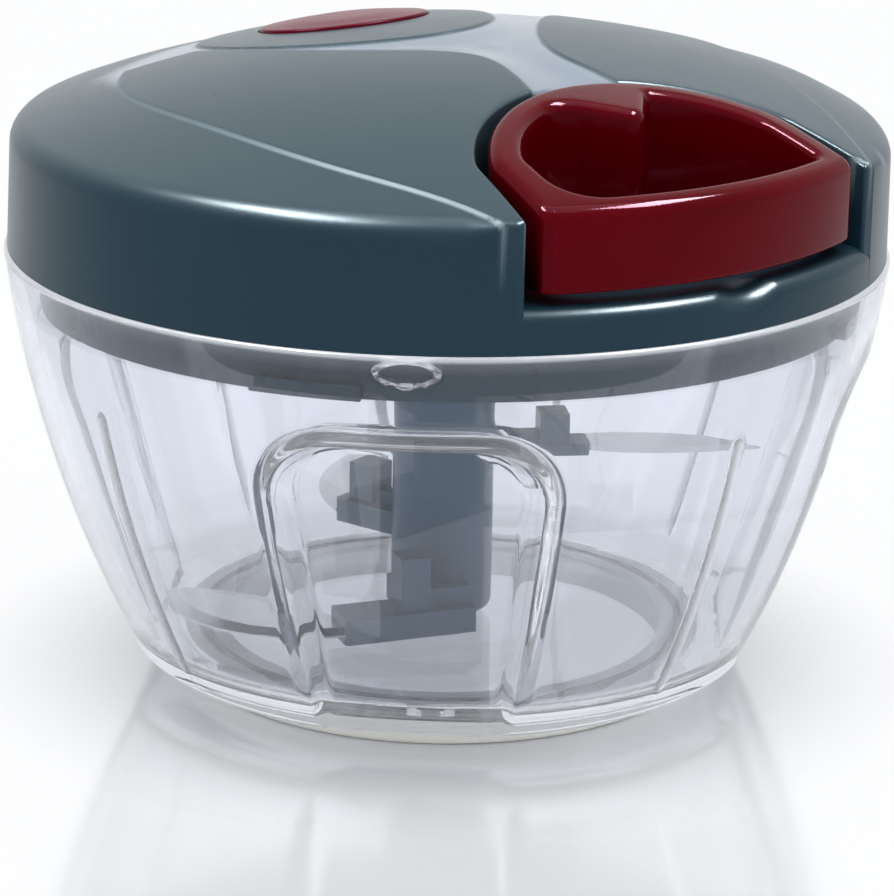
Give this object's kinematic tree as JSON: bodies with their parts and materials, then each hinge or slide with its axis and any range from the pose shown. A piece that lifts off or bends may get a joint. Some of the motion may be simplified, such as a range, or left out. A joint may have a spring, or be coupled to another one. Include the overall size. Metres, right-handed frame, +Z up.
{
  "type": "mini food chopper",
  "caption": "Small pull-cord food chopper: clear bowl, curved steel blades on a stem, domed lid with a looped pull handle in a notch.",
  "frame": {"origin": "centre of the foot ring's underside", "axes": "+Z up the drive axis; -Y towards the front, with the handle's notch facing 38.7 degrees from -Y towards +X"},
  "size_m": [0.1218, 0.1218, 0.0885],
  "materials": {
    "clear_plastic": "clear, glossy",
    "cream_rubber": "matt",
    "steel": "turned",
    "blade_steel": "polished",
    "spring_steel": "blued strip",
    "slate_plastic": "satin",
    "lid_grey": "glossy",
    "badge_red": "glossy",
    "handle_red": "high gloss",
    "white_plastic": "satin",
    "cord_white": "braided"
  },
  "bodies": {
    "bowl": {"bowl": "clear_plastic", "foot_ring": "cream_rubber", "pivot_pin": "steel"},
    "blades": {"blade_stem": "slate_plastic", "blade_lower": "blade_steel", "blade_middle": "blade_steel", "blade_upper": "blade_steel"},
    "lid": {"lid_cover": "lid_grey", "badge_plate": "badge_red", "lid_base": "lid_grey", "base_screws": "steel", "spring_case": "slate_plastic", "spring_cover": "slate_plastic", "case_screws": "steel", "shaft_bush": "white_plastic", "top_bush": "white_plastic", "cord_eyelet": "white_plastic"},
    "drive": {"drive_shaft": "steel", "cord_drum": "white_plastic", "cord_winding": "cord_white", "recoil_spring": "spring_steel"},
    "handle": {"pull_handle": "handle_red", "cord_ferrule": "steel", "cord_lead": "cord_white"}
  },
  "joints": [
    {"name": "lid_lift", "type": "slide", "parent": "bowl", "child": "lid", "axis": [0, 0, 1], "range_m": [0, 0.1]},
    {"name": "handle_pull", "type": "slide", "parent": "lid", "child": "handle", "axis": [0.6252, -0.7804, 0], "range_m": [0, 0.25], "stiffness_N_per_m": 30, "deforming": ["cord_lead"]},
    {"name": "drum_spin", "type": "hinge", "parent": "lid", "child": "drive", "pos_m": [0, 0, 0.074], "axis": [0, 0, 1], "range_deg": [-1592, 1], "deforming": ["recoil_spring"]},
    {"name": "blade_spin", "type": "hinge", "parent": "bowl", "child": "blades", "pos_m": [0, 0, 0.016], "axis": [0, 0, 1], "range_deg": [-1592, 1]}
  ],
  "couplings": [
    {"joint": "drum_spin", "follows": "handle_pull", "rad_per_m": -111.11},
    {"joint": "blade_spin", "follows": "handle_pull", "rad_per_m": -111.11}
  ]
}
